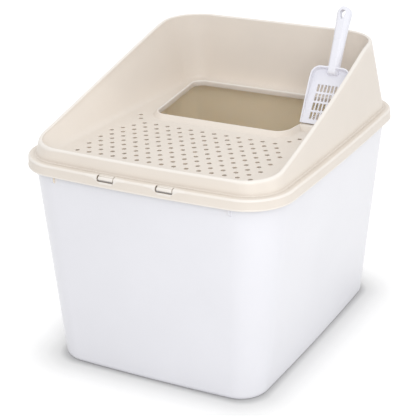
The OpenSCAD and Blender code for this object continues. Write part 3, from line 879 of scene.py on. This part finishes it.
def tub_rings():
    """Rings from under the floor, up the outside, round the rim, and down the inside to the floor."""
    rings = [tub_ring(0, TUB_FOOT_W + TUB_FOOT_LEAD)]
    rings += [tub_ring(TUB_FOOT_H * f, TUB_FOOT_W * (1 - u)) for f, u in quarter(TUB_FOOT_STEPS)]
    wall_top = tub_ring(RIM_LOW, 0)
    rings += between(rings[-1], wall_top, TUB_WALL_STEPS) + [wall_top]
    rings += [tub_rim_ring(RIM_LOW + up, inset) for inset, up in TUB_RIM_PROFILE]
    rings += [tub_ring(TUB_TOP, TUB_WALL - TUB_MOUTH_EASE), tub_ring(TUB_TOP - TUB_MOUTH_EASE, TUB_WALL)]
    rings += between(rings[-1], tub_ring(TUB_FLOOR + TUB_INNER_H, TUB_WALL), TUB_WALL_STEPS)
    rings += [tub_ring(TUB_FLOOR + TUB_INNER_H * (1 - u), TUB_WALL + TUB_INNER_W * f)
              for f, u in quarter(TUB_INNER_STEPS)]
    return rings + [tub_ring(TUB_FLOOR, TUB_WALL + TUB_INNER_W + TUB_INNER_LEAD)]


def tub_rib(x, end):
    """A short gusset under the rim."""
    back, toe, front = RIB_Y - RIB_OVERLAP, RIB_Y - RIB_TOE, RIB_Y + RIB_FRONT
    outline = [(back, RIB_TOP), (front, RIB_TOP), (front, RIB_TOP - RIB_STRAIGHT * RIB_H),
               (toe, RIB_TOP - RIB_H), (back, RIB_TOP - RIB_H)]
    return prism("rib", [Vector((x - RIB_T / 2, end * y, z)) for y, z in outline], (RIB_T, 0, 0))


def build_tub(settings):
    bm = bmesh.new()
    underside, floor = loft(bm, tub_rings())
    flat_fill(bm, [underside], (0, 0, -1))
    flat_fill(bm, [floor], (0, 0, 1))
    tub = finish_mesh(bm, "tub_moulding")
    for x in (-RIB_X, RIB_X):
        for end in (-1, 1):
            combine(tub, tub_rib(x, end), "UNION")
    for side in (-1, 1):
        low = Vector((side * WINDOW_X - NOTCH_W / 2, WINDOW_Y - NOTCH_FRONT, NOTCH_LOW))
        notch = eased_box("notch", low, low + Vector((NOTCH_W, NOTCH_DEPTH, NOTCH_H)), 0)
        combine(tub, notch, "DIFFERENCE")
    shade(tub.data)
    # The second material's tan paints warm light bounced in from the lid on the inner faces.
    give(tub, moulded_plastic("tub_plastic", settings.colour, **TUB_FINISH),
         moulded_plastic("tub_inside_warm_light_plastic", settings.inside_warm_light_colour, **INSIDE_FINISH))
    paint_warm_light_inside(tub)
    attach(tub, "tub")
    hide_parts("tub")


def paint_warm_light_inside(tub):
    """Gives the floor and the walls' inner faces the second material, whose tan is painted warm light."""
    for face in tub.data.polygons:
        centre, normal = face.center, face.normal
        on_floor = normal.z > FLOOR_TILT and centre.z < FLOOR_ZONE * MM
        turn = centre.x * normal.x + centre.y * normal.y
        on_wall = turn < INWARD_TURN * MM and centre.z < INSIDE_TOP * MM and abs(normal.z) < WALL_TILT
        face.material_index = 1 if on_floor or on_wall else 0


# The scoop

def blade_path(inset):
    """The blade's edge: from the mouth's left end up, across the rounded top and down on the right."""
    half, top = BLADE_W / 2 - inset, BLADE_L - inset
    radius = max(BLADE_R - inset, BLADE_LEAST_R)
    shares = [i / BLADE_STEPS for i in range(BLADE_STEPS)]
    points = [Vector((-half, 0, (top - radius) * t)) for t in shares]
    points += [Vector((-half + radius * f, 0, top - radius * (1 - u))) for f, u in quarter(BLADE_STEPS)]
    middle = [Vector((blend(-half + radius, half - radius, t), 0, top)) for t in shares[1:]]
    return points + middle + [Vector((-p.x, 0, p.z)) for p in reversed(points)]


def tray_depth(z):
    return blend(TRAY_LOW, TRAY_HIGH, min(1.0, max(0.0, z / FULL_DEPTH_Z)))


def slot_points(x, z):
    """A slot with rounded corners, in the blade's plane."""
    points = []
    for q, (sx, sz) in enumerate(((1, 1), (-1, 1), (-1, -1), (1, -1))):
        for i in range(SLOT_CORNER_STEPS + 1):
            angle = math.pi / 2 * (q + i / SLOT_CORNER_STEPS)
            points.append(Vector((x + sx * (SLOT_W / 2 - SLOT_R) + SLOT_R * math.cos(angle), 0,
                                  z + sz * (SLOT_L / 2 - SLOT_R) + SLOT_R * math.sin(angle))))
    return points


def scoop_tray(columns):
    """The slotted blade with its raised edge, as a sheet given its thickness."""
    bm = bmesh.new()
    floor = start_ring(bm, blade_path(TRAY_BEND))
    slots = []
    for i in range(columns):
        for k in range(SLOT_ROWS):
            x = (i - (columns - 1) / 2) * SLOT_PITCH
            z = FIRST_SLOT_Z + k * SLOT_ROW_PITCH + SLOT_L / 2
            slots.append(start_ring(bm, slot_points(x, z)))
    flat_fill(bm, [floor] + slots, (0, -1, 0))
    row = floor
    for f, u in quarter(TRAY_BEND_STEPS)[1:]:
        row = next_row(bm, row, [Vector((p.x, -TRAY_BEND_RISE * f, p.z))
                                 for p in blade_path(TRAY_BEND * (1 - u))])
    outer = blade_path(0)
    for share in (0.5, 1.0):
        depths = [blend(TRAY_BEND_RISE, max(tray_depth(p.z), TRAY_BEND_RISE + TRAY_LEAST_EDGE), share)
                  for p in outer]
        row = next_row(bm, row, [Vector((p.x, -depth, p.z)) for p, depth in zip(outer, depths)])
    tray = finish_mesh(bm, "scoop_tray", merge=False)
    front = tray.data.polygons[0].normal.y
    solid = tray.modifiers.new("Thickness", "SOLIDIFY")
    solid.thickness = BLADE_T * MM
    solid.offset = 1.0 if front < 0 else -1.0
    solid.use_even_offset = True
    solid.use_quality_normals = True
    made = evaluated_mesh(tray)
    tray.modifiers.clear()
    tray.data = made
    return tray


def handle_half_width(z):
    """Half the handle's width at a place along it: even at the root, flared to a round end."""
    half_end = HANDLE_W / 2
    straight = HANDLE_L - half_end
    if z > straight:
        return math.sqrt(max(0.0, half_end ** 2 - (z - straight) ** 2))
    return blend(ROOT_W / 2, half_end, max(0.0, z / straight) ** HANDLE_FLARE)


def handle_section(half, depth, z):
    """Half the handle's round: a flat back, eased sides, a bevel and a flat front."""
    right = [(half, 0)]
    for bend in HANDLE_BENDS:
        right += bent(*[(half * across, -depth * deep) for across, deep in bend], BEND_STEPS)
    return [Vector((x, y, z)) for x, y in right] + [Vector((-x, y, z)) for x, y in reversed(right)]


def scoop_handle():
    """A half round bar with a flat back: sections along its length, closed at both ends."""
    half_end = HANDLE_W / 2
    straight = HANDLE_L - half_end
    places = [(-HANDLE_ROOT + along, share) for along, share in STUB]
    root = places[-1][0]
    places += [(blend(root, straight, i / HANDLE_STEPS), 1.0) for i in range(1, HANDLE_STEPS + 1)]
    places += [(straight + half_end * u, 1.0) for f, u in quarter(END_STEPS)[1:-1]]
    places += [(HANDLE_L - END_FACE, 1.0)]
    rings = []
    for z, share in places:
        half = max(handle_half_width(z), LEAST_HALF_W) * blend(STUB_NARROWEST, 1.0, share)
        depth = HANDLE_DEPTH * share
        if z > straight:
            roundness = math.sqrt(max(0.0, 1 - ((z - straight) / half_end) ** END_SQUARENESS))
            depth *= blend(END_THINNEST, 1.0, roundness)
        rings.append(handle_section(half, depth, z))
    bm = bmesh.new()
    for end in loft(bm, rings):
        bmesh.ops.contextual_create(bm, geom=end)
    handle = finish_mesh(bm, "scoop_handle")
    hole = prism("hanging_hole", [Vector((x, HANG_CUT_Y, z)) for x, z in teardrop()], (0, -HANG_CUT_L, 0))
    combine(handle, hole, "DIFFERENCE")
    return handle


def teardrop():
    """Outline of the hanging hole, round at the top and narrow at the tip."""
    tip = HANG_Z - HANG_L
    top_half = [math.pi * i / HANG_STEPS for i in range(HANG_STEPS + 1)]
    tip_half = [math.pi * i / HANG_TIP_STEPS for i in range(HANG_TIP_STEPS + 1)]
    return ([(HANG_R * math.cos(a), HANG_Z + HANG_R * math.sin(a)) for a in top_half]
            + [(-HANG_TIP_R * math.cos(a), tip - HANG_TIP_R * math.sin(a)) for a in tip_half])


def build_scoop(settings):
    tray = scoop_tray(settings.slot_columns)
    handle = scoop_handle()
    lift = Matrix.Translation(Vector((0, -BLADE_T + HANDLE_SINK, BLADE_L - HANDLE_OVERLAP)) * MM)
    tilt = Matrix.Rotation(math.radians(BLADE_LEAN - HANDLE_LEAN), 4, "X")
    handle.data.transform(lift @ tilt)
    combine(tray, handle, "UNION")
    stand = Matrix.Translation(Vector((FOOT_X + BLADE_W / 2, FOOT_Y, FOOT_Z)) * MM)
    tray.data.transform(stand @ Matrix.Rotation(math.radians(-BLADE_LEAN), 4, "X"))
    tray.name = "scoop_moulding"
    shade(tray.data, SCOOP_SHARP_ANGLE)
    give(tray, moulded_plastic("scoop_plastic", settings.colour, **SCOOP_FINISH))
    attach(tray, "scoop")
    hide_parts("scoop")


# The stage

def add_lamp(name, place, power):
    """A square lamp. Its place is where it stands, the point it faces and its side."""
    at, aim, side = place
    light = bpy.data.lights.new(name, "AREA")
    light.shape = "SQUARE"
    light.size = side
    light.energy = power
    obj = bpy.data.objects.new(name, light)
    obj.location = at
    obj.rotation_euler = (Vector(aim) - Vector(at)).to_track_quat("-Z", "Y").to_euler()
    bpy.context.scene.collection.objects.link(obj)


def add_floor():
    bm = bmesh.new()
    bmesh.ops.create_circle(bm, cap_ends=True, segments=FLOOR_SEGMENTS, radius=FLOOR_R)
    mesh = bpy.data.meshes.new("floor")
    bm.to_mesh(mesh)
    bm.free()
    floor = bpy.data.objects.new("floor", mesh)
    bpy.context.scene.collection.objects.link(floor)
    give(floor, studio_floor())


def studio_world(ambient):
    """Even light from all sides, that looks white to the camera."""
    world = bpy.data.worlds.new("studio")
    world.use_nodes = True
    tree = world.node_tree
    back = tree.nodes["Background"]
    back.inputs["Color"].default_value = grey(1)
    feed(tree, back.inputs["Strength"], mapped(tree, seen_directly(tree), low=ambient))
    return world


def add_camera():
    camera = bpy.data.cameras.new("camera")
    camera.lens, camera.sensor_width = CAMERA_LENS, CAMERA_SENSOR
    camera.clip_start, camera.clip_end = CAMERA_NEAR, CAMERA_FAR
    obj = bpy.data.objects.new("camera", camera)
    aim = (Vector(CAMERA_AIM) - Vector(CAMERA_AT)).to_track_quat("-Z", "Y").to_matrix()
    obj.matrix_world = (Matrix.Translation(CAMERA_AT) @ aim.to_4x4()
                        @ Matrix.Rotation(math.radians(CAMERA_ROLL), 4, "Z"))
    bpy.context.scene.collection.objects.link(obj)
    bpy.context.scene.camera = obj


def build_stage(settings):
    scene = bpy.context.scene
    add_floor()
    scene.world = studio_world(settings.ambient)
    add_lamp("key", KEY_LAMP, settings.key_power)
    add_lamp("side", SIDE_LAMP, settings.side_power)
    add_lamp("overhead", OVERHEAD_LAMP, settings.overhead_power)
    add_camera()
    scene.view_settings.view_transform = "Standard"


# Operators and panel

class LITTERBOX_OT_tub(bpy.types.Operator):
    """Build the moulded tub."""

    bl_idname = "litterbox.tub"
    bl_label = "Build tub"

    def execute(self, context):
        build_tub(context.scene.litterbox_tub)
        return {"FINISHED"}


class LITTERBOX_OT_lid(bpy.types.Operator):
    """Build the lid with its step deck and entry opening."""

    bl_idname = "litterbox.lid"
    bl_label = "Build lid"

    def execute(self, context):
        build_lid(context.scene.litterbox_lid)
        return {"FINISHED"}


class LITTERBOX_OT_scoop(bpy.types.Operator):
    """Build the slotted scoop in its dock."""

    bl_idname = "litterbox.scoop"
    bl_label = "Build scoop"

    def execute(self, context):
        build_scoop(context.scene.litterbox_scoop)
        return {"FINISHED"}


class LITTERBOX_OT_stage(bpy.types.Operator):
    """Build the floor, the lights and the camera."""

    bl_idname = "litterbox.stage"
    bl_label = "Build stage"

    def execute(self, context):
        build_stage(context.scene.litterbox_studio)
        return {"FINISHED"}


class LITTERBOX_PT_panel(bpy.types.Panel):
    """Lists the litter box's settings and build steps."""

    bl_idname = "LITTERBOX_PT_panel"
    bl_label = "Litter box"
    bl_space_type = "VIEW_3D"
    bl_region_type = "UI"
    bl_category = "Litter box"

    def draw(self, context):
        layout, scene = self.layout, context.scene
        layout.prop(scene.litterbox_tub, "colour")
        layout.prop(scene.litterbox_tub, "inside_warm_light_colour")
        layout.operator("litterbox.tub")
        layout.prop(scene.litterbox_lid, "colour")
        layout.prop(scene.litterbox_lid, "hole_diameter")
        layout.operator("litterbox.lid")
        layout.prop(scene.litterbox_scoop, "colour")
        layout.prop(scene.litterbox_scoop, "slot_columns")
        layout.operator("litterbox.scoop")
        layout.prop(scene.litterbox_studio, "key_power")
        layout.prop(scene.litterbox_studio, "side_power")
        layout.prop(scene.litterbox_studio, "overhead_power")
        layout.prop(scene.litterbox_studio, "ambient")
        layout.operator("litterbox.stage")


CLASSES = (LidSettings, TubSettings, ScoopSettings, StudioSettings, LITTERBOX_OT_tub,
           LITTERBOX_OT_lid, LITTERBOX_OT_scoop, LITTERBOX_OT_stage, LITTERBOX_PT_panel)
SETTINGS = {"litterbox_lid": LidSettings, "litterbox_tub": TubSettings,
            "litterbox_scoop": ScoopSettings, "litterbox_studio": StudioSettings}


def register():
    for cls in CLASSES:
        bpy.utils.register_class(cls)
    for name, group in SETTINGS.items():
        setattr(bpy.types.Scene, name, PointerProperty(type=group))


def unregister():
    for name in SETTINGS:
        delattr(bpy.types.Scene, name)
    for cls in reversed(CLASSES):
        bpy.utils.unregister_class(cls)


def main():
    register()
    bpy.ops.litterbox.stage()
    bpy.ops.litterbox.tub()
    bpy.ops.litterbox.lid()
    bpy.ops.litterbox.scoop()


if __name__ == "__main__":
    main()
